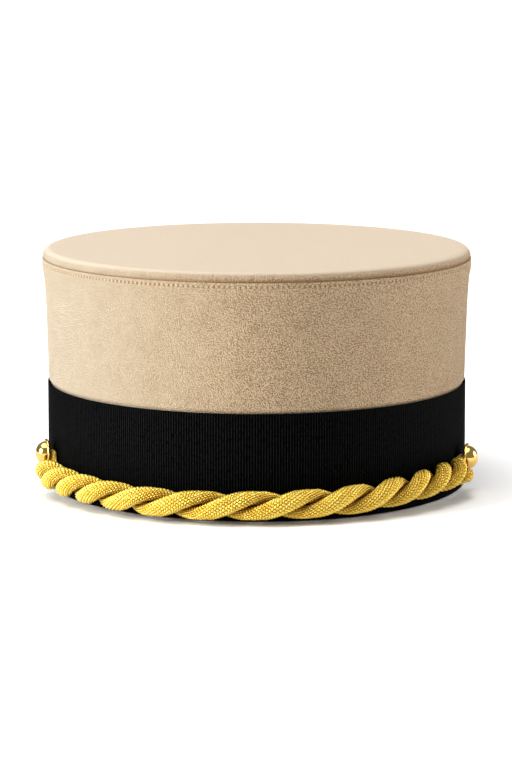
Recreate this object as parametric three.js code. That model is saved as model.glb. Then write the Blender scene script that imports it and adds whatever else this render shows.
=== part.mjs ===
// A drum-shaped felt hat: a flared felt wall closed by a flat tip, a black ribbon round its
// foot, and a two-strand gold cord held across the front by a domed button at each side.
// Millimetres, +Z up. The hat faces -Y and stands on its hem at z = 0.
import * as THREE from 'three';

// Crown, measured over the ribbon
const HAT_WIDTH = 176;
const HAT_DEPTH = 206;
const HAT_HEIGHT = 99;
const FELT = 2.4;
const FLARE = 2.5;
const SEAM_DROP = 3.6;
const LIP_ROUND = 0.7;
const TIP_INSET = 0.45;
const TIP_ROUND = 3.4;

// Ribbon band
const RIBBON_HEIGHT = 42.8;
const RIBBON = 1;
const RIBBON_PROUD = 0.45;
const RIBBON_LIFT = 0.4;
const RIBBON_EDGE = 0.25;

// Buttons, each on a shank that stands on the ribbon
const BUTTON_TURN = 72;
const BUTTON_LEFT_HEIGHT = 16.2;
const BUTTON_RIGHT_HEIGHT = 14.3;
const BUTTON_DIAMETER = 11.8;
const BUTTON_DOME = 4.5;
const BUTTON_RIM = 0.7;
const SHANK_DIAMETER = 2;

// Cord of two twisted strands, each strand thinned to a flat tip at a shank
const STRAND = 5.7;
const STRAND_WIDENING = 1.12;
const TIP_WIDTH = 2.4;
const TIP_THICKNESS = 2.3;
const TIP_SHIFT = 0.4;
const CORD_LOW = 7.45;
const HALF_TWISTS = 7.5;
const TWIST_EASE = 4;
const TWIST_SHIFT = 1.4;
const LAST_TWIST_LEFT = 6.25;
const LAST_TWIST_RIGHT = 6.25;
const TAPER_LENGTH = 21;

// Air between two pieces that touch on the real hat
const GAP = 0.3;

// Facets
const SIDES_ROUND_HAT = 80;
const SIDES_ROUND_STRAND = 8;
const SIDES_ROUND_BUTTON = 24;
const STEPS_ALONG_STRAND = 122;
const PLACES_PER_TWIST = 4;
const ARC_STEPS = 4;
const DOME_STEPS = 6;

// The wall above the ribbon: up as a share of the way to the seam, lean as a share of FLARE.
// The seam allowance folded inside pushes the last tenth out.
const WALL_LEAN = [
  { up: 0.08, lean: 0.04 },
  { up: 0.32, lean: 0.18 },
  { up: 0.65, lean: 0.42 },
  { up: 0.83, lean: 0.68 },
  { up: 0.9, lean: 0.9 },
];

// The height of the cord's middle: along is a share of BUTTON_TURN, left sides negative,
// and rise is a share of the way from CORD_LOW up to that side's button.
const CORD_RISE = [
  { along: -1, rise: 0.5 },
  { along: -0.9, rise: 0.28 },
  { along: -0.79, rise: 0.18 },
  { along: -0.53, rise: 0.06 },
  { along: -0.28, rise: 0 },
  { along: 0, rise: 0.06 },
  { along: 0.33, rise: 0.18 },
  { along: 0.6, rise: 0.45 },
  { along: 0.74, rise: 0.62 },
  { along: 0.86, rise: 0.68 },
  { along: 1, rise: 0.68 },
];

// The ways from the twist to a shank. An upper strand comes to its front, a lower one to its
// underside. All three are shares of STRAND, measured from the shank's middle: along the ribbon
// away from the front, up, and out from where the thinned tips lie.
const LEFT_UPPER = [
  { along: -1.6, up: -0.9, out: 0.15 },
  { along: -1.1, up: -0.45, out: 0.02 },
];
const LEFT_LOWER = [
  { along: -1.5, up: -1.2, out: 0.95 },
  { along: -1, up: -1.5, out: 0.65 },
  { along: -0.5, up: -1.55, out: 0.35 },
  { along: -0.08, up: -1.3, out: 0.08 },
];
const RIGHT_UPPER = [
  { along: -2.1, up: 0.12, out: 0.3 },
  { along: -1.35, up: 0.08, out: 0.05 },
];
const RIGHT_LOWER = [
  { along: -2.1, up: -0.95, out: 0.8 },
  { along: -1.35, up: -1.25, out: 0.62 },
  { along: -0.7, up: -1.45, out: 0.35 },
  { along: -0.12, up: -1.3, out: 0.08 },
];

const halfWidth = HAT_WIDTH / 2;
const ovalExtra = (HAT_DEPTH - HAT_WIDTH) / 2;
const ribbonTop = RIBBON_LIFT + RIBBON_HEIGHT;
const seamHeight = HAT_HEIGHT - SEAM_DROP;
const wallUnderRibbon = halfWidth - RIBBON - GAP;
const wallAboveRibbon = halfWidth - RIBBON_PROUD;
const seamHalfWidth = wallAboveRibbon + FLARE;

const shankFoot = GAP;
const rimHeight = GAP + TIP_THICKNESS + GAP;
const tipOut = GAP + TIP_THICKNESS / 2;

const twistRadius = STRAND / 2 + GAP / 2;
const cordOut = GAP + twistRadius + STRAND / 2;

const frontReach = HAT_DEPTH / 2 + cordOut + twistRadius + STRAND / 2;
const backReach = seamHalfWidth + ovalExtra;
const hatCentreY = (frontReach - backReach) / 2;

const feltMaterial = new THREE.MeshStandardMaterial({ color: 0xdcc3a0, roughness: 0.95, metalness: 0 });
const tipMaterial = new THREE.MeshStandardMaterial({ color: 0xe4cfae, roughness: 0.95, metalness: 0 });
const ribbonMaterial = new THREE.MeshStandardMaterial({ color: 0x111113, roughness: 0.6, metalness: 0 });
const cordMaterial = new THREE.MeshStandardMaterial({ color: 0xd9b33c, roughness: 0.4, metalness: 0.3 });
const brassMaterial = new THREE.MeshStandardMaterial({ color: 0xd8ac3f, roughness: 0.2, metalness: 1 });

// A closed body through rings of points. Each ring has as many points as the next one.
// An endless body joins its last ring to its first; any other is closed by a fan at each end.
function bodyThrough(rings, endless) {
  const count = rings[0].length;
  const positions = rings.flat();
  const triangles = [];
  const lastBand = endless ? rings.length : rings.length - 1;
  for (let band = 0; band < lastBand; band++) {
    const here = band * count;
    const there = ((band + 1) % rings.length) * count;
    for (let side = 0; side < count; side++) {
      const next = (side + 1) % count;
      triangles.push(here + side, here + next, there + next);
      triangles.push(here + side, there + next, there + side);
    }
  }
  if (!endless) {
    closeEnd(positions, triangles, rings[0], 0, true);
    closeEnd(positions, triangles, rings.at(-1), (rings.length - 1) * count, false);
  }
  const geometry = new THREE.BufferGeometry().setFromPoints(positions);
  geometry.setIndex(triangles);
  geometry.computeVertexNormals();
  return geometry;
}

function closeEnd(positions, triangles, ring, first, isStart) {
  const middle = new THREE.Vector3();
  for (const point of ring) middle.addScaledVector(point, 1 / ring.length);
  const centre = positions.push(middle) - 1;
  for (let side = 0; side < ring.length; side++) {
    const next = (side + 1) % ring.length;
    if (isStart) triangles.push(centre, first + next, first + side);
    else triangles.push(centre, first + side, first + next);
  }
}

// A point of the hat's oval: turn in degrees from the front towards the right side
function ovalPoint(half, height, turn) {
  const angle = THREE.MathUtils.degToRad(turn);
  return new THREE.Vector3(half * Math.sin(angle), -(half + ovalExtra) * Math.cos(angle), height);
}

// The direction straight out of the ribbon at a turn
function outwardAt(turn) {
  const angle = THREE.MathUtils.degToRad(turn);
  const across = (halfWidth + ovalExtra) * Math.sin(angle);
  const ahead = -halfWidth * Math.cos(angle);
  return new THREE.Vector3(across, ahead, 0).normalize();
}

function onRibbon(turn, height, out) {
  return ovalPoint(halfWidth, height, turn).addScaledVector(outwardAt(turn), out);
}

// A section's corner as a half width and a height becomes one ring round the hat
function hatRing({ half, height }) {
  const ring = [];
  for (let side = 0; side < SIDES_ROUND_HAT; side++) {
    ring.push(ovalPoint(half, height, (360 * side) / SIDES_ROUND_HAT));
  }
  return ring;
}

// A quarter circle from straight out to straight up, about a centre on the section
function quarterRound(half, height, radius) {
  const corners = [];
  for (let step = 0; step <= ARC_STEPS; step++) {
    const angle = (Math.PI / 2) * (step / ARC_STEPS);
    corners.push({ half: half + radius * Math.cos(angle), height: height + radius * Math.sin(angle) });
  }
  return corners;
}

function crownWall() {
  const slope = seamHeight - ribbonTop;
  const leaning = WALL_LEAN.map(({ up, lean }) => ({
    half: wallAboveRibbon + lean * FLARE,
    height: ribbonTop + up * slope,
  }));
  const ledge = { half: wallUnderRibbon, height: ribbonTop + GAP };
  const shoulder = { half: wallAboveRibbon, height: ledge.height + wallAboveRibbon - wallUnderRibbon };
  const hem = { half: wallUnderRibbon, height: 0 };
  const lip = [
    { half: seamHalfWidth, height: seamHeight - LIP_ROUND },
    { half: seamHalfWidth - LIP_ROUND, height: seamHeight },
  ];
  const inside = (corner) => ({ half: corner.half - FELT, height: corner.height });
  const middle = leaning[2];
  const rise = [hem, ledge, shoulder, ...leaning, ...lip];
  const fall = [{ half: seamHalfWidth, height: seamHeight }, middle, shoulder, ledge, hem].map(inside);
  return bodyThrough([...rise, ...fall].map(hatRing), true);
}

function crownTip() {
  const rim = seamHalfWidth - TIP_INSET;
  const foot = seamHeight + GAP;
  const roundFoot = HAT_HEIGHT - TIP_ROUND;
  const seat = seamHalfWidth - FELT - LIP_ROUND;
  const underside = HAT_HEIGHT - FELT;
  const corners = [
    { half: seat / 2, height: underside },
    { half: seat - FELT / 2, height: underside },
    { half: seat, height: foot },
    { half: rim - LIP_ROUND, height: foot },
    ...quarterRound(rim - TIP_ROUND, roundFoot, TIP_ROUND).filter(({ height }) => height > foot),
    { half: seat / 2, height: HAT_HEIGHT },
  ];
  return bodyThrough(corners.map(hatRing), false);
}

function ribbonBand() {
  const outer = halfWidth;
  const inner = halfWidth - RIBBON;
  const corners = [
    { half: outer - RIBBON_EDGE, height: RIBBON_LIFT },
    { half: outer, height: RIBBON_LIFT + RIBBON_EDGE },
    { half: outer, height: ribbonTop - RIBBON_EDGE },
    { half: outer - RIBBON_EDGE, height: ribbonTop },
    { half: inner, height: ribbonTop },
    { half: inner, height: RIBBON_LIFT },
  ];
  return bodyThrough(corners.map(hatRing), true);
}

// The shank, a flat back, a rounded rim and the dome, turned about the button's axis
function buttonGeometry() {
  const shank = SHANK_DIAMETER / 2;
  const rim = BUTTON_DIAMETER / 2;
  const domeFoot = rimHeight + BUTTON_RIM;
  const domeRadius = rim - BUTTON_RIM / 2;
  const profile = [
    new THREE.Vector2(0, shankFoot),
    new THREE.Vector2(shank, shankFoot),
    new THREE.Vector2(shank, rimHeight),
    new THREE.Vector2(rim - BUTTON_RIM / 2, rimHeight),
    new THREE.Vector2(rim, rimHeight + BUTTON_RIM / 2),
  ];
  for (let step = 0; step <= DOME_STEPS; step++) {
    const angle = (Math.PI / 2) * (step / DOME_STEPS);
    const radius = step < DOME_STEPS ? domeRadius * Math.cos(angle) : 0;
    profile.push(new THREE.Vector2(radius, domeFoot + (BUTTON_DOME - BUTTON_RIM) * Math.sin(angle)));
  }
  return new THREE.LatheGeometry(profile, SIDES_ROUND_BUTTON);
}

function button(name, turn, height) {
  const mesh = new THREE.Mesh(buttonGeometry(), brassMaterial.clone());
  mesh.name = name;
  mesh.position.copy(onRibbon(turn, height, 0));
  mesh.quaternion.setFromUnitVectors(new THREE.Vector3(0, 1, 0), outwardAt(turn));
  return mesh;
}

function buttonHeightAt(turn) {
  return turn < 0 ? BUTTON_LEFT_HEIGHT : BUTTON_RIGHT_HEIGHT;
}

// The height of the twist's middle at a turn, read from a smooth curve through CORD_RISE
const riseCurve = new THREE.SplineCurve(CORD_RISE.map(({ along, rise }) => new THREE.Vector2(along, rise)));

function cordHeight(turn) {
  const along = turn / BUTTON_TURN;
  const after = CORD_RISE.findIndex((row) => row.along >= along);
  const before = Math.max(after, 1) - 1;
  const span = CORD_RISE[before + 1].along - CORD_RISE[before].along;
  const share = (along - CORD_RISE[before].along) / span;
  const rise = riseCurve.getPoint((before + share) / (CORD_RISE.length - 1)).y;
  return CORD_LOW + rise * (buttonHeightAt(turn) - CORD_LOW);
}

// A place on a strand: its middle, and the direction in which its section is thin
function place(middle, thin) {
  return { middle, thin };
}

// Where a strand lies after a number of half twists from the middle of the front.
// The twist is looser in the middle and tightens towards the buttons.
function twistPlace(twists, phase) {
  const eased = Math.asinh(twists / TWIST_EASE) / Math.asinh(HALF_TWISTS / TWIST_EASE);
  const turn = BUTTON_TURN * eased - TWIST_SHIFT;
  const angle = phase - Math.PI * twists;
  const thin = outwardAt(turn).multiplyScalar(Math.sin(angle));
  thin.z = Math.cos(angle);
  const axis = onRibbon(turn, cordHeight(turn), cordOut);
  return place(axis.addScaledVector(thin, twistRadius), thin);
}

// A place beside a shank: along the ribbon away from the front, up, and out, in millimetres
function shankPlace(side, along, up, out) {
  const turn = side * BUTTON_TURN;
  const outward = outwardAt(turn);
  const backward = new THREE.Vector3(-outward.y, outward.x, 0).multiplyScalar(side);
  const middle = onRibbon(turn, buttonHeightAt(turn) + up, tipOut + out);
  return place(middle.addScaledVector(backward, along), outward);
}

// A strand's way from the twist to one shank, side -1 for left and 1 for right.
// Its last stretch runs straight at the shank, from the front or from below.
function shankEnd(side, approach, isUpper) {
  const places = approach.map(({ along, up, out }) =>
    shankPlace(side, along * STRAND, up * STRAND, out * STRAND));
  const rest = SHANK_DIAMETER / 2 + GAP;
  for (const away of [rest + TIP_WIDTH, rest + TIP_WIDTH / 2, rest]) {
    if (isUpper) places.push(shankPlace(side, -away, TIP_SHIFT, 0));
    else places.push(shankPlace(side, TIP_SHIFT, -away, 0));
  }
  return places;
}

// The strand that comes to its shank from the front at the left comes from below at the right
function strandPlaces(startsUpper) {
  const phase = startsUpper ? Math.PI : 0;
  const left = shankEnd(-1, startsUpper ? LEFT_UPPER : LEFT_LOWER, startsUpper);
  const right = shankEnd(1, startsUpper ? RIGHT_LOWER : RIGHT_UPPER, !startsUpper);
  const count = Math.round((LAST_TWIST_LEFT + LAST_TWIST_RIGHT) * PLACES_PER_TWIST);
  const twist = [];
  for (let step = 0; step <= count; step++) {
    const twists = THREE.MathUtils.lerp(-LAST_TWIST_LEFT, LAST_TWIST_RIGHT, step / count);
    twist.push(twistPlace(twists, phase));
  }
  turnLike(left, twist[0].thin);
  turnLike(right, twist.at(-1).thin);
  return [...left.reverse(), ...twist, ...right];
}

// A section is the same both ways round, so an end's thin directions may point either way
function turnLike(places, thin) {
  for (const end of places) if (end.thin.dot(thin) < 0) end.thin.negate();
}

// A strand is flattened against its fellow along the front and thinned towards each shank
function strand(name, startsUpper) {
  const places = strandPlaces(startsUpper);
  const middles = new THREE.CatmullRomCurve3(places.map(({ middle }) => middle), false, 'centripetal');
  const thins = new THREE.CatmullRomCurve3(places.map(({ thin }) => thin), false, 'centripetal');
  const length = middles.getLength();
  const rings = [];
  for (let step = 0; step <= STEPS_ALONG_STRAND; step++) {
    const share = step / STEPS_ALONG_STRAND;
    const at = middles.getUtoTmapping(share);
    const middle = middles.getPoint(at);
    const ahead = middles.getTangent(at);
    const fromEnd = length * Math.min(share, 1 - share);
    const fullness = THREE.MathUtils.smoothstep(fromEnd, BUTTON_DIAMETER / 2, TAPER_LENGTH);
    const wide = THREE.MathUtils.lerp(TIP_WIDTH, STRAND * STRAND_WIDENING, fullness) / 2;
    const thick = THREE.MathUtils.lerp(TIP_THICKNESS, STRAND, fullness) / 2;
    const across = new THREE.Vector3().crossVectors(ahead, thins.getPoint(at)).normalize();
    const out = new THREE.Vector3().crossVectors(across, ahead);
    const ring = [];
    for (let side = 0; side < SIDES_ROUND_STRAND; side++) {
      const angle = (2 * Math.PI * (side + 0.5)) / SIDES_ROUND_STRAND;
      const point = middle.clone().addScaledVector(out, thick * Math.cos(angle));
      ring.push(point.addScaledVector(across, wide * Math.sin(angle)));
    }
    rings.push(ring);
  }
  const mesh = new THREE.Mesh(bodyThrough(rings, false), cordMaterial.clone());
  mesh.name = name;
  return mesh;
}

function named(name, geometry, material) {
  const mesh = new THREE.Mesh(geometry, material);
  mesh.name = name;
  return mesh;
}

const hat = new THREE.Group();
hat.add(named('crown_wall', crownWall(), feltMaterial));
hat.add(named('crown_tip', crownTip(), tipMaterial));
hat.add(named('ribbon_band', ribbonBand(), ribbonMaterial));
hat.add(strand('cord_strand_a', false));
hat.add(strand('cord_strand_b', true));
hat.add(button('button_left', -BUTTON_TURN, BUTTON_LEFT_HEIGHT));
hat.add(button('button_right', BUTTON_TURN, BUTTON_RIGHT_HEIGHT));
hat.position.y = hatCentreY;

const model = new THREE.Group();
model.add(hat);

export default model;
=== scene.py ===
# %% [markdown]
# # A drum-shaped felt hat with a gold cord
#
# This lesson dresses a stiff felt hat in Blender. The hat is a drum of beige cloth over felt: a wall that
# flares a little, and a flat tip sewn on top. A black ribbed ribbon goes round its foot, and a gold cord of
# two twisted strands hangs across the front between two domed buttons. The plain solids of all these pieces
# are loaded first, and every new piece is made in the place of one of them, in metres.

# %% Load the plain solids
import math

import bmesh
import bpy
import numpy as np
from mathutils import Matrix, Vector


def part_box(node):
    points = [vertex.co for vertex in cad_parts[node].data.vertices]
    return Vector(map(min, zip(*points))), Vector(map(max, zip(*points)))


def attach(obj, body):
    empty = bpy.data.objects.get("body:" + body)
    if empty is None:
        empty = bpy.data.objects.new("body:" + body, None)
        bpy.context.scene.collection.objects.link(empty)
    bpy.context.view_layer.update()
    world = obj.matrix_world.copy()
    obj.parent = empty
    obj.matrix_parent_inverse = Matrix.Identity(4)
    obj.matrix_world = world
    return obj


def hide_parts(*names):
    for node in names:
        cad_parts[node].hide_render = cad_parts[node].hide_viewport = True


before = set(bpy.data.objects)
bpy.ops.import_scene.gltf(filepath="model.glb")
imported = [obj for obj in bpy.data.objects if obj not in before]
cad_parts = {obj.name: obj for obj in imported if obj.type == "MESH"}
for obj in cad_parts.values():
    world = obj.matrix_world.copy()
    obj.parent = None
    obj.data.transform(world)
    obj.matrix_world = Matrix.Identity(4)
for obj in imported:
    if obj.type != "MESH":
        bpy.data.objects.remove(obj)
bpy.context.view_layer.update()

print("pieces to dress:", sorted(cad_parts))

# %% [markdown]
# ## The hat's oval
#
# Seen from above, the hat is an oval that is longer than it is wide. Every ring on it, from the hem to the
# tip's rim, keeps the same difference between its two half sizes, as rows of felt do on a block. So one
# number, the half width, says how big a ring is. The sizes here are in millimetres, because they are easier
# to read, and a length is multiplied by MM where Blender gets it.

# %% Sizes of the hat
MM = 0.001
low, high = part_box("crown_wall")
HAT_Y = (low.y + high.y) / 2 / MM
RIBBON_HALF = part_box("ribbon_band")[1].x / MM
OVAL_EXTRA = (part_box("ribbon_band")[1].y - HAT_Y * MM) / MM - RIBBON_HALF
RIBBON_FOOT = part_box("ribbon_band")[0].z / MM
RIBBON_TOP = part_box("ribbon_band")[1].z / MM
SEAM_HEIGHT = high.z / MM
SEAM_HALF = high.x / MM
HAT_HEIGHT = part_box("crown_tip")[1].z / MM
RIBBON_THICK = 1
FELT = 2.4
GAP = 0.3
print(f"ribbon half width {RIBBON_HALF:.2f} mm, oval longer by {OVAL_EXTRA:.2f} mm each way")
print(f"seam at {SEAM_HEIGHT:.1f} mm, half width {SEAM_HALF:.2f} mm, hat {HAT_HEIGHT:.1f} mm high")


# %% Points on the oval
def oval_point(half, height, turn):
    """The turn is in degrees, from the front towards the right."""
    angle = np.radians(turn)
    across = half * np.sin(angle)
    ahead = HAT_Y - (half + OVAL_EXTRA) * np.cos(angle)
    return np.stack(np.broadcast_arrays(across, ahead, height), axis=-1)


def outward(turn):
    """The direction straight out of the ribbon."""
    angle = np.radians(turn)
    across = (RIBBON_HALF + OVAL_EXTRA) * np.sin(angle)
    ahead = -RIBBON_HALF * np.cos(angle)
    size = np.hypot(across, ahead)
    return np.stack([across / size, ahead / size, np.zeros_like(size)], axis=-1)


print("front of the ribbon:", oval_point(RIBBON_HALF, 0.0, 0.0).round(2))

# %% [markdown]
# ## The camera
#
# The picture was taken from a little above, from straight in front, with a long lens: the near and far
# edges of the ribbon curve only slightly. The camera stands 1.39 m away and looks down by about eight
# degrees at a point on the hat's axis. The hat stands a little off the middle of the picture, by three
# quarters of a pixel of the 768 that the picture is high, so the lens is shifted by that much. The camera
# is made first.

# %% Camera
LOOK_DOWN = 8.27
CAMERA_AWAY = 1392
AIM_HEIGHT = 40.2
LENS = 154.3
SENSOR = 36
SIDE_SHIFT = -0.75 / 768

tilt = math.radians(LOOK_DOWN)
camera_y = HAT_Y - CAMERA_AWAY * math.cos(tilt)
camera_z = AIM_HEIGHT + CAMERA_AWAY * math.sin(tilt)
bpy.ops.object.camera_add(location=(0, camera_y * MM, camera_z * MM), rotation=(math.pi / 2 - tilt, 0, 0))
camera = bpy.context.object
camera.data.lens = LENS
camera.data.sensor_width = SENSOR
camera.data.shift_x = SIDE_SHIFT
camera.data.clip_end = 60
bpy.context.scene.camera = camera
print("camera at", [round(value, 3) for value in camera.location])

# %% [markdown]
# ## The studio
#
# The hat stands on white paper. A wide soft light from above keeps the paper and the tip white: it is a sun
# with a very wide disc, because a sun is as strong far behind the hat as near it. A large low lamp at the
# left brightens that side of the wall and leaves the middle in half light, so the grain of the cloth shows
# there, and a weak lamp lifts the right edge. The floor is a wide white sheet; it isn't part of the hat.

# %% Floor
bpy.ops.object.select_all(action="DESELECT")
bpy.ops.mesh.primitive_plane_add(size=40)
floor = bpy.context.object
floor.name = "studio_floor"
print(floor.name, "is", floor.dimensions.x, "m wide")


# %% Lights
def area_light(name, place, aim, size, power, colour):
    bpy.ops.object.light_add(type="AREA", location=place)
    lamp = bpy.context.object
    lamp.name = name
    lamp.data.size = size
    lamp.data.energy = power
    lamp.data.color = colour
    lamp.rotation_euler = (Vector(aim) - Vector(place)).to_track_quat("-Z", "Y").to_euler()
    print(f"{name}: {power} W from {Vector(place).length:.2f} m away")


hat_middle = (0, 0, 0.05)
area_light("left_lamp", (-1.58, -0.66, 0.5), hat_middle, size=1.0, power=46.5, colour=(0.94, 0.98, 1))
area_light("right_lamp", (1.6, 0.3, 0.5), hat_middle, size=0.8, power=19, colour=(1, 0.99, 0.98))

bpy.ops.object.light_add(type="SUN", rotation=(0, math.radians(-12), 0))
overhead = bpy.context.object
overhead.name = "overhead_light"
overhead.data.energy = 2.9
overhead.data.angle = math.radians(60)

world = bpy.data.worlds.new("pale_room")
bpy.context.scene.world = world
world.use_nodes = True
sky = world.node_tree.nodes["Background"]
sky.inputs["Color"].default_value = (1, 1, 1, 1)
sky.inputs["Strength"].default_value = 0.28
bpy.context.scene.view_settings.view_transform = "Standard"

# %% [markdown]
# ## Two small tools for materials
#
# A finish here is a tree of nodes, and most nodes only do sums. Written out one by one they hide the idea,
# so the class `Amount` wraps a socket and lets Python's own signs add the Math nodes, as in `1 - mask`.
# Every other kind of node comes from one method, `node`, which takes its settings and what goes into its
# sockets. The kinds that are used again and again, such as a noise or a mix of two colours, have a short
# name of their own.


# %% Amounts that can be added and multiplied
class Amount:
    """A number that varies over a surface."""

    def __init__(self, finish, socket):
        self.finish = finish
        self.socket = socket

    def output(self, name):
        """What another output of the same node gives."""
        return Amount(self.finish, self.socket.node.outputs[name])

    def math(self, operation, *others):
        return self.finish.node("ShaderNodeMath", {"operation": operation}, dict(enumerate([self, *others])))

    def __add__(self, other):
        return self.math("ADD", other)

    def __sub__(self, other):
        return self.math("SUBTRACT", other)

    def __mul__(self, other):
        return self.math("MULTIPLY", other)

    def __truediv__(self, other):
        return self.math("DIVIDE", other)

    def __pow__(self, other):
        return self.math("POWER", other)

    def __rsub__(self, other):
        return self * -1 + other

    __radd__ = __add__
    __rmul__ = __mul__

    def between(self, start, end):
        """0 at the start, 1 at the end, and smooth on the way."""
        settings = {"interpolation_type": "SMOOTHSTEP"}
        return self.finish.node("ShaderNodeMapRange", settings, {0: self, 1: start, 2: end})


# %% A finish
class Finish:
    """One material, and the method that adds its nodes."""

    def __init__(self, name, constants):
        self.material = bpy.data.materials.new(name)
        self.material.use_nodes = True
        self.tree = self.material.node_tree
        self.shader = self.tree.nodes["Principled BSDF"]
        for socket, value in constants.items():
            self.feed(self.shader.inputs[socket], value)

    def feed(self, socket, value):
        if isinstance(value, Amount):
            self.tree.links.new(value.socket, socket)
        else:
            socket.default_value = value

    def node(self, kind, settings, sockets, out=0):
        made = self.tree.nodes.new(kind)
        for name, value in settings.items():
            setattr(made, name, value)
        for name, value in sockets.items():
            self.feed(made.inputs[name], value)
        return Amount(self, made.outputs[out])

    def place(self):
        """Where a point is on the hat, in metres."""
        return self.node("ShaderNodeTexCoord", {}, {}, "Object")

    def flat_map(self, layer="along"):
        """Where a point is on the piece when it is laid flat."""
        return self.node("ShaderNodeUVMap", {"uv_map": layer}, {})

    def axis(self, vector, name):
        """One number of a vector: X, Y or Z."""
        return self.node("ShaderNodeSeparateXYZ", {}, {"Vector": vector}, name)

    def saved(self, name):
        """A number that was saved with each point of the piece."""
        return self.node("ShaderNodeAttribute", {"attribute_name": name}, {}, "Fac")

    def noise(self, across_mm, detail=2, vector=None):
        """Soft lumps about as far apart as across_mm, from 0 to 1."""
        sockets = {"Vector": vector or self.place(), "Scale": 1 / (across_mm * MM), "Detail": detail}
        return self.node("ShaderNodeTexNoise", {}, sockets)

    def mix(self, share, first, second):
        """The first colour where share is 0, the second where it is 1."""
        sockets = {0: share, 6: first, 7: second}
        return self.node("ShaderNodeMix", {"data_type": "RGBA"}, sockets, 2)

    def bump(self, height, deep_mm):
        """Raises the surface by up to deep_mm where height is 1."""
        sockets = {"Height": height, "Distance": deep_mm * MM, "Strength": 1}
        self.feed(self.shader.inputs["Normal"], self.node("ShaderNodeBump", {}, sockets))

    def colour(self, value):
        self.feed(self.shader.inputs["Base Color"], value)


# %% White paper for the floor
paper = Finish("white_paper", {"Roughness": 1})
paper.colour(paper.mix(paper.noise(300), (0.95, 0.95, 0.95, 1), (0.97, 0.97, 0.97, 1)))
floor.data.materials.append(paper.material)
print(paper.material.name, "has", len(paper.tree.nodes), "nodes")

# %% [markdown]
# ## Rings that follow a profile
#
# The wall, the tip and the buttons are all turned shapes: the same profile goes all the way round. A lathe
# tool could make a round one, but the hat is an oval whose two half sizes don't shrink in step. So the
# shape is grown by hand: a ring of edges is added, and each new ring is extruded from the last one, lifted,
# and scaled to its own width and depth. It is the way to raise a drum in edit mode, and it works for a
# round button too.


# %% Grow a shape ring by ring
def grow_rings(name, profile, sides, extra=0.0, middle_y=0.0):
    """The profile is a list of (half width, height) in millimetres. The piece stays open in edit mode."""
    half, height = profile[0]
    bpy.ops.object.select_all(action="DESELECT")
    bpy.ops.mesh.primitive_circle_add(vertices=sides, radius=half * MM)
    piece = bpy.context.object
    piece.name = name
    bpy.ops.object.mode_set(mode="EDIT")
    bpy.ops.mesh.select_all(action="SELECT")
    bpy.ops.transform.resize(value=(1, (half + extra) / half, 1), center_override=(0, 0, 0))
    bpy.ops.transform.translate(value=(0, middle_y * MM, height * MM))
    for new_half, new_height in profile[1:]:
        rise = (0, 0, (new_height - height) * MM)
        bpy.ops.mesh.extrude_region_move(TRANSFORM_OT_translate={"value": rise})
        scale = (new_half / half, (new_half + extra) / (half + extra), 1)
        bpy.ops.transform.resize(value=scale, center_override=(0, middle_y * MM, new_height * MM))
        half, height = new_half, new_height
    return piece


def close_rings(piece, joined):
    """Joins the two open rings to each other, or else fills each with a face."""
    bpy.ops.mesh.select_mode(type="EDGE")
    bpy.ops.mesh.select_all(action="DESELECT")
    bpy.ops.mesh.select_non_manifold()
    if joined:
        bpy.ops.mesh.bridge_edge_loops()
    else:
        bpy.ops.mesh.fill_holes(sides=0)
    bpy.ops.mesh.select_all(action="SELECT")
    bpy.ops.mesh.normals_make_consistent(inside=False)
    bpy.ops.object.mode_set(mode="OBJECT")
    bpy.ops.object.shade_smooth_by_angle(angle=math.radians(50))
    print(piece.name, "has", len(piece.data.polygons), "faces")


# %% A smooth line through a few points
def smooth_line(points, at, power=0.5):
    """Reads a line through the points at each number in at, where 0 is the first point and 1 the second."""
    points = np.asarray(points, float)
    before = 2 * points[:1] - points[1:2]
    after = 2 * points[-1:] - points[-2:-1]
    padded = np.concatenate([before, points, after])
    first = np.clip(np.floor(at).astype(int), 0, len(points) - 2)
    share = (np.asarray(at, float) - first)[:, None]
    p0, p1, p2, p3 = (padded[first + step] for step in range(4))
    d0, d1, d2 = (
        np.maximum(np.linalg.norm(b - a, axis=1, keepdims=True), 1e-6) ** power
        for a, b in ((p0, p1), (p1, p2), (p2, p3))
    )
    leave = ((p1 - p0) / d0 - (p2 - p0) / (d0 + d1) + (p2 - p1) / d1) * d1
    arrive = ((p2 - p1) / d1 - (p3 - p1) / (d1 + d2) + (p3 - p2) / d2) * d1
    curve = 2 * p1 - 2 * p2 + leave + arrive
    bend = -3 * p1 + 3 * p2 - 2 * leave - arrive
    return p1 + share * (leave + share * (bend + share * curve))


# %% [markdown]
# ## The felt wall
#
# The wall is one strip of cloth over felt, pulled tight over a block and closed at the back. Under the
# ribbon it is straight, and above it leans out, a little more near the seam, where the turned edge inside
# makes it thicker. The machine stitching pulls a shallow groove just below the seam. All of this is one
# profile, so the wall is grown ring by ring up the outside and down the inside, and the two open rings at
# the hem are then bridged.

# %% Profile of the wall
wall_lean = [(0, 0), (0.08, 0.04), (0.32, 0.18), (0.65, 0.42), (0.83, 0.68), (0.9, 0.9), (0.965, 1.0)]
FLARE = 2.5
WALL_ABOVE = SEAM_HALF - FLARE
STITCHED_HALF = SEAM_HALF - 0.05
WALL_UNDER = RIBBON_HALF - RIBBON_THICK - GAP
INNER_BEND = 60
HEM_ROUND = 0.4
FOLD_ROUND = 0.25
LIP_ROUND = 0.5
SEAM_SINK = 0.35
STITCH_DROP = 2.0
STITCH_GROOVE = 0.22
GROOVE_REACH = 0.7
GROOVED_PART = STITCH_DROP + 1.2
rings_below_seam = (3.4, 2.9, 2.6, 2.3, 2.0, 1.7, 1.35, 1.05, 0.85, 0.68, 0.52, 0.42, SEAM_SINK)

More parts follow.
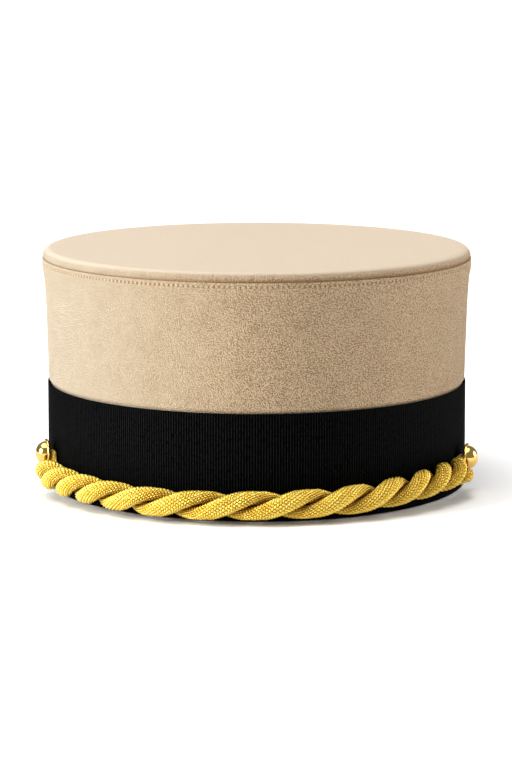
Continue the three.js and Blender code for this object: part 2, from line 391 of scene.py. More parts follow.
ledge_height = RIBBON_TOP + GAP
shoulder_height = ledge_height + WALL_ABOVE - WALL_UNDER
rise_shares = smooth_line(wall_lean, np.linspace(0, len(wall_lean) - 1, 40), power=0)
outside = []
for up, lean in rise_shares:
    height = shoulder_height + up * (SEAM_HEIGHT - shoulder_height)
    if height < SEAM_HEIGHT - GROOVED_PART:
        outside.append((WALL_ABOVE + lean * FLARE, height))
for below in rings_below_seam:
    groove = STITCH_GROOVE * max(0.0, 1 - abs(below - STITCH_DROP) / GROOVE_REACH) ** 2
    lip = LIP_ROUND - math.sqrt(LIP_ROUND ** 2 - max(0.0, SEAM_SINK + LIP_ROUND - below) ** 2)
    outside.append((STITCHED_HALF - groove - lip, SEAM_HEIGHT - below))

profile = [(WALL_UNDER - HEM_ROUND, 0), (WALL_UNDER, HEM_ROUND)]
profile += [(WALL_UNDER, ledge_height - 0.3), (WALL_UNDER + 0.15, ledge_height)]
profile += [(WALL_ABOVE - FOLD_ROUND, shoulder_height - FOLD_ROUND), (WALL_ABOVE - 0.05, shoulder_height)]
profile += outside[1:]
profile += [(SEAM_HALF - FELT, SEAM_HEIGHT - SEAM_SINK), (WALL_ABOVE - FELT + 0.4, INNER_BEND)]
profile += [(WALL_ABOVE - FELT, shoulder_height), (WALL_UNDER - FELT, ledge_height)]
profile += [(WALL_UNDER - FELT, HEM_ROUND), (WALL_UNDER - FELT + HEM_ROUND, 0)]
print("the wall's profile has", len(profile), "points")

# %% Grow the wall
wall = grow_rings("felt_wall", profile, 256, OVAL_EXTRA, HAT_Y)
close_rings(wall, joined=True)

# %% [markdown]
# Cloth over felt is never quite even. A very soft cloud texture moves the wall by a tenth of a millimetre
# here and there, which bends the light along it the way a pressed piece of cloth does. Only the free cloth
# may move, so its points are chosen first, by their place.


# %% Choose points by their place
def select_points(piece, chosen):
    """In edit mode, selects the points whose place in millimetres passes the test."""
    bpy.ops.mesh.select_mode(type="VERT")
    bpy.ops.mesh.select_all(action="DESELECT")
    shape = bmesh.from_edit_mesh(piece.data)
    for point in shape.verts:
        point.select = bool(chosen(*(point.co / MM)))
    shape.select_flush(True)
    bmesh.update_edit_mesh(piece.data)


# %% Make the cloth uneven
def work_on(piece):
    """Selects one piece and nothing else."""
    bpy.ops.object.select_all(action="DESELECT")
    piece.select_set(True)
    bpy.context.view_layer.objects.active = piece


def soften(piece, chosen, apart_mm, deep_mm):
    """Moves only the chosen points, so hems and seams stay true."""
    work_on(piece)
    bpy.ops.object.mode_set(mode="EDIT")
    select_points(piece, chosen)
    bpy.ops.object.vertex_group_assign_new()
    bpy.ops.object.mode_set(mode="OBJECT")
    clouds = bpy.data.textures.new(piece.name + "_clouds", type="CLOUDS")
    clouds.noise_scale = apart_mm * MM
    lumps = piece.modifiers.new("lumps", "DISPLACE")
    lumps.texture = clouds
    lumps.texture_coords = "LOCAL"
    lumps.strength = deep_mm * MM
    lumps.mid_level = 0.5
    lumps.vertex_group = piece.vertex_groups[0].name
    bpy.ops.object.modifier_apply(modifier=lumps.name)
    print(f"{piece.name} is uneven by up to {deep_mm / 2} mm each way")


soften(wall, lambda x, y, z: RIBBON_TOP + 4 < z < SEAM_HEIGHT - 6, apart_mm=22, deep_mm=0.3)

# %% [markdown]
# ## The tip
#
# The tip is a flat oval of the same cloth. Its edge is turned down over the seam with a round of about
# three millimetres, and the turned part sits just inside the top of the wall. The fine dark line round the
# hat is the gap between that round edge and the wall's lip. It is grown the same way as the wall, and
# closed at the top and below.

# %% Grow the tip
TIP_HALF = SEAM_HALF - 0.3
TIP_ROUND = 3.4
TIP_FOOT = SEAM_HEIGHT - SEAM_SINK + 0.02
UNDER_MIDDLE = 40
FLAT_HALF = 80
rings_on_top = (82, 76, 68, 58, 46, 32, 18, 6)

profile = [(UNDER_MIDDLE, HAT_HEIGHT - FELT), (SEAM_HALF - FELT - 2.2, HAT_HEIGHT - FELT)]
profile += [(SEAM_HALF - FELT - 0.9, TIP_FOOT), (TIP_HALF - 0.7, TIP_FOOT)]
profile += [(TIP_HALF - 0.42, TIP_FOOT + 0.14), (TIP_HALF - 0.22, TIP_FOOT + 0.45)]
for angle in np.radians(np.linspace(14, 90, 10)):
    ring_half = TIP_HALF - TIP_ROUND + TIP_ROUND * math.cos(angle)
    profile.append((ring_half, HAT_HEIGHT - TIP_ROUND + TIP_ROUND * math.sin(angle)))
profile += [(half, HAT_HEIGHT) for half in rings_on_top]
tip = grow_rings("felt_tip", profile, 256, OVAL_EXTRA, HAT_Y)
close_rings(tip, joined=False)


def on_flat(x, y, z):
    return z > HAT_HEIGHT - 0.01 and (x / FLAT_HALF) ** 2 + ((y - HAT_Y) / (FLAT_HALF + OVAL_EXTRA)) ** 2 < 1


soften(tip, on_flat, apart_mm=30, deep_mm=0.25)

# %% [markdown]
# ## The cloth's own length
#
# The stitches and their holes follow the seam, so the wall's finish has to know how far along the hat a
# point is. A UV map holds just that: U is the length along the oval and V is the height, both in metres. On
# the tip V goes on growing inwards from the edge, so that the grain isn't stretched where the cloth turns.
# The oval has no neat formula for its length, so it is added up in small steps once and then looked up. A
# face that spans the back, where U starts again, has all its corners moved to the same side.

# %% Length along an oval
STEPS_ROUND = 4000


def oval_lengths(half):
    """The length along the oval from the back, at each of many turns."""
    turns = np.linspace(-180, 180, STEPS_ROUND + 1)
    points = oval_point(half, 0.0, turns)
    steps = np.linalg.norm(np.diff(points, axis=0), axis=1)
    return turns, np.concatenate([[0], np.cumsum(steps)])


RIBBON_LENGTH = oval_lengths(RIBBON_HALF)[1][-1]
SEAM_LENGTH = oval_lengths(SEAM_HALF)[1][-1]
print(f"the ribbon is {RIBBON_LENGTH:.1f} mm long, the seam {SEAM_LENGTH:.1f} mm")


# %% Unroll the wall and the tip
def read_points(piece):
    points = np.zeros(len(piece.data.vertices) * 3)
    piece.data.vertices.foreach_get("co", points)
    return points.reshape(-1, 3) / MM


def unroll(piece, half, folded=False):
    """U is the length along the oval, V the height. Folded adds the way in from the edge to V."""
    mesh = piece.data
    points = read_points(piece)
    corners = np.zeros(len(mesh.loops), int)
    mesh.loops.foreach_get("vertex_index", corners)
    turns, lengths = oval_lengths(half)
    narrow = half / (half + OVAL_EXTRA)
    turn = np.degrees(np.arctan2(points[:, 0], -(points[:, 1] - HAT_Y) * narrow))
    along = np.interp(turn, turns, lengths)[corners]
    starts = np.zeros(len(mesh.polygons), int)
    mesh.polygons.foreach_get("loop_start", starts)
    first = np.repeat(along[starts], np.diff(np.append(starts, len(corners))))
    along -= lengths[-1] * np.round((along - first) / lengths[-1])
    up = points[:, 2]
    if folded:
        up = up + half - np.hypot(points[:, 0], (points[:, 1] - HAT_Y) * narrow)
    layer = mesh.uv_layers.new(name="along")
    layer.data.foreach_set("uv", np.stack([along, up[corners]], axis=1).ravel() * MM)
    mesh.uv_layers.active = layer
    print(f"{piece.name} is unrolled, V from {up.min():.1f} to {up.max():.1f} mm")


unroll(wall, SEAM_HALF)
unroll(tip, SEAM_HALF, folded=True)

# %% [markdown]
# ## The cloth's finish
#
# The cloth has a fine grain of small pebbles and no shine at all. The grain is a Voronoi pattern on the flat
# map of the cloth, turned aslant as twill is, and every pebble has a height of its own. It gives the bump
# and
# also the tone: light on the pebbles and dark between them. At the left, where the left lamp falls strongly,
# the colour is painted greyer and with less contrast. This is painted light that washes the cloth out, and
# the grain's bump is halved there. A wide noise changes the colour a little everywhere, as undyed wool does.
# A photo of cloth could be laid on it instead, but a pattern has no end and needs no file.

# %% Cloth
GRAIN_PITCH = 0.6
GRAIN_DEPTH = 1.4
GRAIN_ASLANT = math.radians(43)
PALE_BEIGE = (0.92, 0.68, 0.417, 1)
DEEP_BEIGE = (0.25, 0.13, 0.05, 1)
# The left side's colour is painted greyer, because the strong light of the left lamp washes it out.
LIT_LEFT_BEIGE = (0.56, 0.46, 0.33, 1)
CLOTH = {"Roughness": 0.95, "Sheen Weight": 0.15, "Sheen Roughness": 0.5, "Sheen Tint": (1, 0.82, 0.6, 1)}


def grain(finish, flat):
    """The height of the grain's pebbles, from 0 to 1, on a flat map of the cloth."""
    aslant = finish.node("ShaderNodeMapping", {}, {"Vector": flat, "Rotation": (0, 0, GRAIN_ASLANT)})
    sockets = {"Vector": aslant, "Scale": 1 / (GRAIN_PITCH * MM), "Randomness": 0.8}
    away = finish.node("ShaderNodeTexVoronoi", {"voronoi_dimensions": "2D"}, sockets)
    return (1 - away.between(0.08, 0.62)) * 0.6 + away.output("Color") * 0.4


def across_hat(finish):
    """0 at the left, where the left lamp's light is painted in, and 1 from the middle on."""
    return finish.axis(finish.place(), "X").between(-0.085, 0.015)


def cloth_relief(finish):
    """How much of the grain's height is left: half of it at the left."""
    return across_hat(finish) * 0.5 + 0.5


def cloth_tone(finish, height, dark, light, lit_left):
    """Light on the pebbles and dark between them. At the left it is painted greyer, washed out by the lamp.
    """
    beyond_lit_left = across_hat(finish)
    patches = finish.noise(9, detail=3).between(0.3, 0.7)
    # Painted light: at the left the colour is greyer and has less contrast, washed out by the left lamp.
    contrast = (height - 0.5) * (beyond_lit_left * 1.5 + 0.3)
    paler = finish.mix(beyond_lit_left, lit_left, light)
    return finish.mix(contrast + 0.74 - beyond_lit_left * 0.13 + patches * 0.1, dark, paler)


wall_cloth = Finish("wall_cloth", CLOTH)
wall_grain = grain(wall_cloth, wall_cloth.flat_map())
wall_tone = cloth_tone(wall_cloth, wall_grain, DEEP_BEIGE, PALE_BEIGE, LIT_LEFT_BEIGE)
print("a pebble of the cloth is", GRAIN_PITCH, "mm wide")

# %% [markdown]
# The tip is the same cloth, but its flat is pressed smooth, so it is hardly rough there, and its colour is
# painted paler and less warm, for the light from above that washes out the top. The material goes over from
# the wall's tone on the turned edge to that pale one, and the grain itself decides where, so that no clean
# ring shows. A brown painted shade in the crease over the wall's lip makes the fine line of the seam. It is
# fainter at the left, where the left lamp lights the crease.

# %% The tip and its turned edge
# The flat's two tones are painted paler and less warm, for the light that falls on the top.
TOP_LIT_BEIGE = (0.545, 0.443, 0.338, 1)
TOP_LIT_DARKER_BEIGE = (0.49, 0.39, 0.29, 1)
# Painted shade for the crease of the seam and for the needle holes.
PAINTED_SEAM_SHADE = (0.30, 0.15, 0.045, 1)

tip_cloth = Finish("tip_cloth", CLOTH)
way_in = tip_cloth.axis(tip_cloth.flat_map(), "Y")
edge_grain = grain(tip_cloth, tip_cloth.flat_map())
flat_grain = grain(tip_cloth, tip_cloth.place())
turned = 1 - (way_in - edge_grain * (0.8 * MM)).between((HAT_HEIGHT - 2.5) * MM, (HAT_HEIGHT + 1.5) * MM)
edge_tone = cloth_tone(tip_cloth, edge_grain, DEEP_BEIGE, PALE_BEIGE, LIT_LEFT_BEIGE)
flat_tone = cloth_tone(tip_cloth, flat_grain, TOP_LIT_DARKER_BEIGE, TOP_LIT_BEIGE, TOP_LIT_BEIGE)
tip_tone = tip_cloth.mix(turned, flat_tone, edge_tone)
# Painted shade in the crease under the turned edge, fainter at the left, where the left lamp lights it.
under_edge = (1 - way_in.between((TIP_FOOT + 0.9) * MM, (TIP_FOOT + 2.8) * MM)) ** 2
tip_cloth.colour(tip_cloth.mix(under_edge * (across_hat(tip_cloth) * 0.6 + 0.15), tip_tone, PAINTED_SEAM_SHADE))
tip_relief = edge_grain * turned * cloth_relief(tip_cloth) + flat_grain * (1 - turned) * 0.15
tip_cloth.bump(tip_relief, GRAIN_DEPTH)
tip.data.materials.append(tip_cloth.material)
print(tip_cloth.material.name, "has", len(tip_cloth.tree.nodes), "nodes")

# %% [markdown]
# The needle holes are small pits in the groove, and the shade in them is painted brown. They are drawn from
# the UV map: the distance to the nearest stitch end is worked out with plain sums, as a share of a hole's
# size. Some stitches are pulled tighter than others, so a noise makes the painted shade in their holes
# darker. The upper edge of the wall, inside the crease, has painted shade too.

# %% Needle holes along the seam
STITCH_PITCH = SEAM_LENGTH / round(SEAM_LENGTH / 2.1)
HOLE_SIZE = 0.5

along_seam = wall_cloth.axis(wall_cloth.flat_map(), "X")
up = along_seam.output("Y")
away_up = (up - (SEAM_HEIGHT - STITCH_DROP) * MM) / (HOLE_SIZE * MM)
cycle = (along_seam / (STITCH_PITCH * MM)).math("FRACT")
away_along = (0.5 - (cycle - 0.5).math("ABSOLUTE")) * (STITCH_PITCH / HOLE_SIZE)
hole = 1 - (away_up ** 2 + away_along ** 2).between(0.4, 2.1)
in_crease = up.between((SEAM_HEIGHT - SEAM_SINK - 0.22) * MM, (SEAM_HEIGHT - SEAM_SINK - 0.02) * MM)
tightness = wall_cloth.noise(14).between(0.35, 0.6) * 0.35 + 0.65
# Painted shade: brown in the needle holes and in the crease at the wall's upper edge.
wall_cloth.colour(wall_cloth.mix((hole * tightness).math("MAXIMUM", in_crease * 0.6), wall_tone, PAINTED_SEAM_SHADE))
wall_cloth.bump(wall_grain * cloth_relief(wall_cloth) - hole * 0.15, GRAIN_DEPTH)
wall.data.materials.append(wall_cloth.material)
print("stitch pitch", round(STITCH_PITCH, 3), "mm")

# %% [markdown]
# ## Laying a straight piece along a route
#
# The ribbon's ribs, the seam's stitches and the cord's plaits all repeat along a curved way. Each is easy
# to model straight: one rib or one stitch, repeated by an Array modifier along X. Then every point of the
# straight piece is moved onto the route: X becomes the length along it, Y goes out of it and Z across it.
# Blender's Curve modifier does much the same, but it can't flatten a cord by its own amount at each place,
# so the few sums are written out here.


# %% Routes
def make_route(middles, outs):
    """At each point it keeps the length so far, the middle, and the directions out and across."""
    steps = np.linalg.norm(np.diff(middles, axis=0), axis=1)
    lengths = np.concatenate([[0], np.cumsum(steps)])
    ahead = np.gradient(middles, lengths, axis=0)
    across = np.cross(ahead, outs)
    across /= np.linalg.norm(across, axis=1, keepdims=True)
    out = np.cross(across, ahead)
    out /= np.linalg.norm(out, axis=1, keepdims=True)
    return {"length": lengths, "middle": middles, "out": out, "across": across}


def oval_route(half, height):
    """Once round the hat, from back to back, the way that puts Z up."""
    turns = np.linspace(180, -180, STEPS_ROUND + 1)
    route = make_route(oval_point(half, height, turns), outward(turns))
    route["out"][-1] = route["out"][0]
    route["across"][:] = (0, 0, 1)
    return route


def look_up(route, name, along):
    columns = [np.interp(along, route["length"], column) for column in route[name].T]
    return np.stack(columns, axis=-1)


# %% Lay a piece
def write_points(piece, points):
    piece.data.vertices.foreach_set("co", (points * MM).ravel())
    piece.data.update()


def lay_along(piece, route, thick=None, wide=None):
    """Bends a straight piece. thick and wide scale its Y and Z at each point of the route."""
    along, out, across = read_points(piece).T
    if thick is not None:
        out = out * np.interp(along, route["length"], thick)
        across = across * np.interp(along, route["length"], wide)
    middle = look_up(route, "middle", along)
    moved = middle + look_up(route, "out", along) * out[:, None]
    write_points(piece, moved + look_up(route, "across", along) * across[:, None])


def repeat_along(piece, pitch, count, merge=False):
    """Repeats a piece along X and applies the repeats."""
    work_on(piece)
    repeats = piece.modifiers.new("repeats", "ARRAY")
    repeats.count = count
    repeats.use_relative_offset = False
    repeats.use_constant_offset = True
    repeats.constant_offset_displace = (pitch * MM, 0, 0)
    repeats.use_merge_vertices = merge
    repeats.merge_threshold = 0.01 * MM
    bpy.ops.object.modifier_apply(modifier=repeats.name)


# %% [markdown]
# ## The topstitching
#
# A row of machine stitches runs round the hat just below the seam. The thread is as pale as the cloth, so
# mostly the needle holes show, but each stitch still catches a little light. One stitch is a short rod with
# rounded ends, made from a stretched sphere, half sunk in the groove.

# %% One stitch, then all of them
STITCH_LONG = 1.4
STITCH_DEEP = 0.26
STITCH_HIGH = 0.34
STITCH_STANDS_OUT = 0.02
stitch_count = round(SEAM_LENGTH / STITCH_PITCH)

bpy.ops.object.select_all(action="DESELECT")
bpy.ops.mesh.primitive_uv_sphere_add(segments=8, ring_count=6, radius=0.5 * MM)
stitches = bpy.context.object
stitches.name = "seam_stitches"
bpy.ops.object.mode_set(mode="EDIT")
bpy.ops.mesh.select_all(action="SELECT")
bpy.ops.transform.rotate(value=math.pi / 2, orient_axis="Y", center_override=(0, 0, 0))
bpy.ops.transform.resize(value=(STITCH_LONG, STITCH_DEEP, STITCH_HIGH), center_override=(0, 0, 0))
bpy.ops.transform.translate(value=(STITCH_PITCH / 2 * MM, 0, 0))
bpy.ops.object.mode_set(mode="OBJECT")
repeat_along(stitches, STITCH_PITCH, stitch_count)
stitch_half = STITCHED_HALF - STITCH_GROOVE + STITCH_STANDS_OUT
stitch_route = oval_route(stitch_half, SEAM_HEIGHT - STITCH_DROP)
stitch_route["length"] *= SEAM_LENGTH / stitch_route["length"][-1]
lay_along(stitches, stitch_route)
bpy.ops.object.shade_smooth()

THREAD_SHADE = (0.60, 0.44, 0.27, 1)
THREAD_LIGHT = (0.70, 0.54, 0.36, 1)
thread = Finish("pale_thread", {"Roughness": 0.8, "Specular IOR Level": 0.1})
thread.colour(thread.mix(thread.noise(0.5), THREAD_SHADE, THREAD_LIGHT))
stitches.data.materials.append(thread.material)
print("stitches:", stitch_count)

# %% [markdown]
# ## The ribbon
#
# It is a grosgrain ribbon: thick threads run up and down inside it, and the fine black threads wrapped over
# them make one rounded rib for each. The ribs are a millimetre apart, so they show as faint upright lines.
# One rib is a small grid whose middle column stands out and whose ends turn in. It is repeated until it
# reaches round the hat, laid on the oval, and given a back.

# %% One rib of the ribbon
RIB_COUNT = round(RIBBON_LENGTH / 1.11)
RIB_PITCH = RIBBON_LENGTH / RIB_COUNT
RIB_DEPTH = 0.22
RIB_SHOULDER = 0.72
RIBBON_EDGE = 0.35
EDGE_TURN = 0.3
WEAVE_THICK = 0.8
RIBBON_HEIGHT = RIBBON_TOP - RIBBON_FOOT

bpy.ops.object.select_all(action="DESELECT")
bpy.ops.mesh.primitive_grid_add(x_subdivisions=4, y_subdivisions=4, size=MM, rotation=(-math.pi / 2, 0, 0))
ribbon = bpy.context.object
ribbon.name = "ribbed_ribbon"
bpy.ops.object.transform_apply(location=True, rotation=True, scale=True)
bpy.ops.object.mode_set(mode="EDIT")
bpy.ops.mesh.select_all(action="SELECT")
bpy.ops.transform.resize(value=(RIB_PITCH, 1, RIBBON_HEIGHT), center_override=(0, 0, 0))
bpy.ops.transform.translate(value=(RIB_PITCH / 2 * MM, -RIB_DEPTH * MM, 0))
middle_x = RIB_PITCH / 2
select_points(ribbon, lambda x, y, z: abs(x - middle_x) < 0.1)
bpy.ops.transform.translate(value=(0, RIB_DEPTH * MM, 0))
select_points(ribbon, lambda x, y, z: 0.1 < abs(x - middle_x) < 0.4)
bpy.ops.transform.translate(value=(0, RIB_SHOULDER * RIB_DEPTH * MM, 0))
select_points(ribbon, lambda x, y, z: 1 < abs(z) < 0.4 * RIBBON_HEIGHT)
near_edge = (RIBBON_HEIGHT / 2 - RIBBON_EDGE) / (RIBBON_HEIGHT / 4)
bpy.ops.transform.resize(value=(1, 1, near_edge), center_override=(0, 0, 0))
select_points(ribbon, lambda x, y, z: abs(z) > 0.499 * RIBBON_HEIGHT)
bpy.ops.transform.translate(value=(0, -EDGE_TURN * MM, 0))
bpy.ops.object.mode_set(mode="OBJECT")
print(f"a rib is {RIB_PITCH:.3f} mm wide and has {len(ribbon.data.polygons)} faces")

# %% All the ribs, laid round the hat
repeat_along(ribbon, RIB_PITCH, RIB_COUNT, merge=True)
ribbon_route = oval_route(RIBBON_HALF, (RIBBON_TOP + RIBBON_FOOT) / 2)
lay_along(ribbon, ribbon_route)
bpy.ops.object.mode_set(mode="EDIT")
bpy.ops.mesh.select_all(action="SELECT")
bpy.ops.mesh.remove_doubles(threshold=0.03 * MM)
bpy.ops.object.mode_set(mode="OBJECT")
thickness = ribbon.modifiers.new("thickness", "SOLIDIFY")
thickness.thickness = WEAVE_THICK * MM
thickness.offset = -1
bpy.ops.object.modifier_apply(modifier=thickness.name)
bpy.ops.object.shade_smooth_by_angle(angle=math.radians(60))
print(RIB_COUNT, "ribs,", len(ribbon.data.polygons), "faces")

# %% [markdown]
# Black silk reflects a little light on top of each rib and none between them. That reflection is painted:
# each crest gets a thin paler line, broken up by noise. The threads that cross a rib are finer than a
# pixel, so they are a bump of thin level lines, broken up by noise so that no two ribs look the same.

# %% Ribbon finish
unroll(ribbon, RIBBON_HALF)
BETWEEN_RIBS = (0.0002, 0.0002, 0.0002, 1)
CREST_PAINTED_SHINE = (0.0145, 0.0145, 0.0145, 1)
level_bands = {"wave_type": "BANDS", "bands_direction": "Z"}
fine_bands = {"Scale": 1 / (2.2 * MM), "Distortion": 1.2, "Detail": 2, "Detail Scale": 900}

ribbon_black = Finish("black_grosgrain", {"Specular IOR Level": 0.012, "Roughness": 0.65})
along_ribbon = ribbon_black.axis(ribbon_black.flat_map(), "X")
off_crest = ((along_ribbon / (RIB_PITCH * MM)).math("FRACT") - 0.5).math("ABSOLUTE")
threads = ribbon_black.node("ShaderNodeTexWave", level_bands, {"Vector": ribbon_black.place(), **fine_bands})
uneven = ribbon_black.noise(1.3, detail=3)
ribbon_black.bump(threads * 0.6 + uneven * 0.4, 0.12)
# Painted reflection: a thin paler line on top of each rib.
crest_shine = (1 - off_crest.between(0.03, 0.15)) * uneven.between(0.2, 0.6)
ribbon_black.colour(ribbon_black.mix(crest_shine, BETWEEN_RIBS, CREST_PAINTED_SHINE))
ribbon.data.materials.append(ribbon_black.material)
print(ribbon_black.material.name, "has", len(ribbon_black.tree.nodes), "nodes")

# %% [markdown]
# ## The cord's routes
#
# Two strands are twisted round each other, loosely in the middle and more tightly towards the buttons. Each
# strand's middle is found from the oval, the cord's height at that place and the turn of the twist. At both
# ends the strands leave the twist: one goes to the shank under the button from the front, the other from
# below, and both get thinner on the way. The sizes are those of the plain solids, so the braid fits in
# their place.

# %% Sizes of the cord and the buttons
BUTTON_TURN = 72
BUTTON_HEIGHTS = {-1: 16.2, 1: 14.3}
BUTTON_DIAMETER = 11.8
SHANK = 2
STRAND = 5.7
STRAND_WIDENING = 1.36
TIP_WIDTH = 2.4
TIP_THICKNESS = 2.3
TIP_SHIFT = 0.4
CORD_LOW = 7.45
HALF_TWISTS = 7.5
TWIST_EASE = 4
TWIST_SHIFT = 1.4
LAST_TWIST = 6.25
TAPER_LENGTH = 21
TIP_OUT = GAP + TIP_THICKNESS / 2
TWIST_RADIUS = STRAND / 2 + GAP / 2
CORD_OUT = GAP + TWIST_RADIUS + STRAND / 2

# Each row: the share of the way to a button, from left to right, and of the rise to that button's height.
cord_rise = np.array([
    (-1, 0.5), (-0.9, 0.28), (-0.79, 0.18), (-0.53, 0.06), (-0.28, 0), (0, 0.06),
    (0.33, 0.18), (0.6, 0.45), (0.74, 0.62), (0.86, 0.68), (1, 0.68),
])
# Each row, in thicknesses of a strand from the shank: along the ribbon, up, and out of the ribbon.
ways_in = {
    (-1, "upper"): [(-1.6, -0.9, 0.15), (-1.1, -0.45, 0.02)],
    (-1, "lower"): [(-1.5, -1.2, 0.95), (-1, -1.5, 0.65), (-0.5, -1.55, 0.35), (-0.08, -1.3, 0.08)],
    (1, "upper"): [(-2.1, 0.12, 0.3), (-1.35, 0.08, 0.05)],
    (1, "lower"): [(-2.1, -0.95, 0.8), (-1.35, -1.25, 0.62), (-0.7, -1.45, 0.35), (-0.12, -1.3, 0.08)],
}


# %% Places along the twist
def cord_height(turn):
    """The height of the cord's own middle at a turn round the hat."""
    along = turn / BUTTON_TURN
    row = np.interp(along, cord_rise[:, 0], np.arange(len(cord_rise)))
    rise = smooth_line(cord_rise[:, 1:], row, power=0)[:, 0]
    top = np.where(turn < 0, BUTTON_HEIGHTS[-1], BUTTON_HEIGHTS[1])
    return CORD_LOW + rise * (top - CORD_LOW)


def twist_places(twists, phase):
    """The middles of a strand after so many half twists, and the way its section is thin."""
    turn = BUTTON_TURN * np.arcsinh(twists / TWIST_EASE) / math.asinh(HALF_TWISTS / TWIST_EASE) - TWIST_SHIFT
    angle = phase - math.pi * twists
    thin = outward(turn) * np.sin(angle)[:, None]
    thin[:, 2] = np.cos(angle)
    axis = oval_point(RIBBON_HALF, cord_height(turn), turn) + outward(turn) * CORD_OUT
    return axis + thin * TWIST_RADIUS, thin


# %% Places on the way to a shank
def shank_places(side, way):
    """side is -1 at the left and 1 at the right, and way is upper or lower."""
    turn = side * BUTTON_TURN
    out = outward(turn)
    back = np.array([-out[1], out[0], 0]) * side
    shank = oval_point(RIBBON_HALF, BUTTON_HEIGHTS[side], turn) + out * TIP_OUT
    rows = [tuple(value * STRAND for value in row) for row in ways_in[side, way]]
    for away in (TIP_WIDTH, TIP_WIDTH / 2, 0):
        rest = away + SHANK / 2 + GAP
        rows.append((-rest, TIP_SHIFT, 0) if way == "upper" else (TIP_SHIFT, -rest, 0))
    places = [shank + back * along + np.array([0, 0, up]) + out * away for along, up, away in rows]
    return np.array(places), np.tile(out, (len(places), 1))


# %% One strand's route
def strand_route(starts_upper):
    """From the left shank to the right one. One strand starts as the upper one, the other as the lower."""
    phase = math.pi if starts_upper else 0
    middles, thins = twist_places(np.linspace(-LAST_TWIST, LAST_TWIST, 51), phase)
    left, left_thin = shank_places(-1, "upper" if starts_upper else "lower")
    right, right_thin = shank_places(1, "lower" if starts_upper else "upper")
    left_thin *= np.sign(left_thin[0] @ thins[0])
    right_thin *= np.sign(right_thin[0] @ thins[-1])
    middles = np.concatenate([left[::-1], middles, right])
    thins = np.concatenate([left_thin[::-1], thins, right_thin])
    at = np.linspace(0, len(middles) - 1, 1600)
    return make_route(smooth_line(middles, at), smooth_line(thins, at))


def fullness(route):
    """How much of its full thickness a strand has: none at a tip, all of it along the twist."""
    from_end = np.minimum(route["length"], route["length"][-1] - route["length"])
    share = np.clip((from_end - BUTTON_DIAMETER / 2) / (TAPER_LENGTH - BUTTON_DIAMETER / 2), 0, 1)
    return share * share * (3 - 2 * share)


for starts_upper in (False, True):
    print(f"a strand of {strand_route(starts_upper)['length'][-1]:.1f} mm")

# %% [markdown]
# ## The braided strands
#
# Each strand is a soft round braid: sixteen gold yarns go round a core, half of them each way, and pass
# over and under each other. What shows is a column of short plump stitches for every yarn, and neighbouring
# columns lean opposite ways, half a stitch apart. So one stitch is modelled as a stretched sphere, a second
# one leans the other way beside it, and the pair is spun round the core. With a short piece of the core,
# that is one step of the braid. The steps are then repeated along X and laid on the route, where the strand
# is also flattened and thinned. Its section is pressed a little square, as two strands that lie against
# each other are.

# %% One step of the braid
BRAID_STEP = 1.2
BRAID_COLUMNS = 16
STITCH_LEAN = math.radians(25)
STITCH_SIZE = (1.5, 1.6, 0.84)
CORE_RADIUS = 2.2
STITCH_RADIUS = STRAND / 2 - STITCH_SIZE[1] / 2


def braid_step(name):
    """Two stitches for each pair of yarns, all the way round the core."""
    bpy.ops.object.select_all(action="DESELECT")
    bpy.ops.mesh.primitive_uv_sphere_add(segments=6, ring_count=5, radius=0.5 * MM)
    strand = bpy.context.object
    strand.name = name
    bpy.ops.object.mode_set(mode="EDIT")
    bpy.ops.mesh.select_all(action="SELECT")
    bpy.ops.transform.rotate(value=math.pi / 2, orient_axis="Y", center_override=(0, 0, 0))
    bpy.ops.transform.resize(value=STITCH_SIZE, center_override=(0, 0, 0))
    bpy.ops.transform.rotate(value=STITCH_LEAN, orient_axis="Y", center_override=(0, 0, 0))
    bpy.ops.transform.translate(value=(0, STITCH_RADIUS * MM, 0))
    bpy.ops.mesh.duplicate()
    bpy.ops.transform.rotate(value=-2 * STITCH_LEAN, orient_axis="Y", center_override=(0, 0, 0))
    bpy.ops.transform.translate(value=(BRAID_STEP / 2 * MM, 0, 0))
    beside = 2 * math.pi / BRAID_COLUMNS
    bpy.ops.transform.rotate(value=beside, orient_axis="X", center_override=(0, 0, 0))
    bpy.ops.mesh.select_all(action="SELECT")
    pairs = BRAID_COLUMNS // 2
    around = 2 * math.pi * (pairs - 1) / pairs
    bpy.ops.mesh.spin(dupli=True, steps=pairs - 1, angle=around, center=(0, 0, 0), axis=(1, 0, 0))
    bpy.ops.object.mode_set(mode="OBJECT")
    return strand


def core_step():
    """A short open tube, selected."""
    bpy.ops.object.select_all(action="DESELECT")
    bpy.ops.mesh.primitive_cylinder_add(
        vertices=BRAID_COLUMNS, radius=CORE_RADIUS * MM, depth=BRAID_STEP * MM, end_fill_type="NOTHING",
        rotation=(0, math.pi / 2, 0),
    )
    bpy.ops.object.transform_apply(location=True, rotation=True, scale=True)


# %% A straight braid
def straight_braid(name, steps):
    """The steps in a row along X, closed at both ends."""
    strand = braid_step(name)
    core_step()
    strand.select_set(True)
    bpy.context.view_layer.objects.active = strand
    bpy.ops.object.join()
    repeat_along(strand, BRAID_STEP, steps, merge=True)
    bpy.ops.object.mode_set(mode="EDIT")
    bpy.ops.mesh.select_all(action="SELECT")
    bpy.ops.mesh.fill_holes(sides=0)
    bpy.ops.object.mode_set(mode="OBJECT")
    print(name, "has", len(strand.data.polygons), "faces on", steps, "steps")
    return strand


# %% Its section, and what the finish has to know of it
SQUARENESS = 2.2


def square_section(points):
    """Presses a round section a little square. With a squareness of 2 it stays round."""
    around = np.arctan2(points[:, 2], points[:, 1])
    reach = np.abs(np.cos(around)) ** SQUARENESS + np.abs(np.sin(around)) ** SQUARENESS
    points[:, 1:] /= (reach ** (1 / SQUARENESS))[:, None]


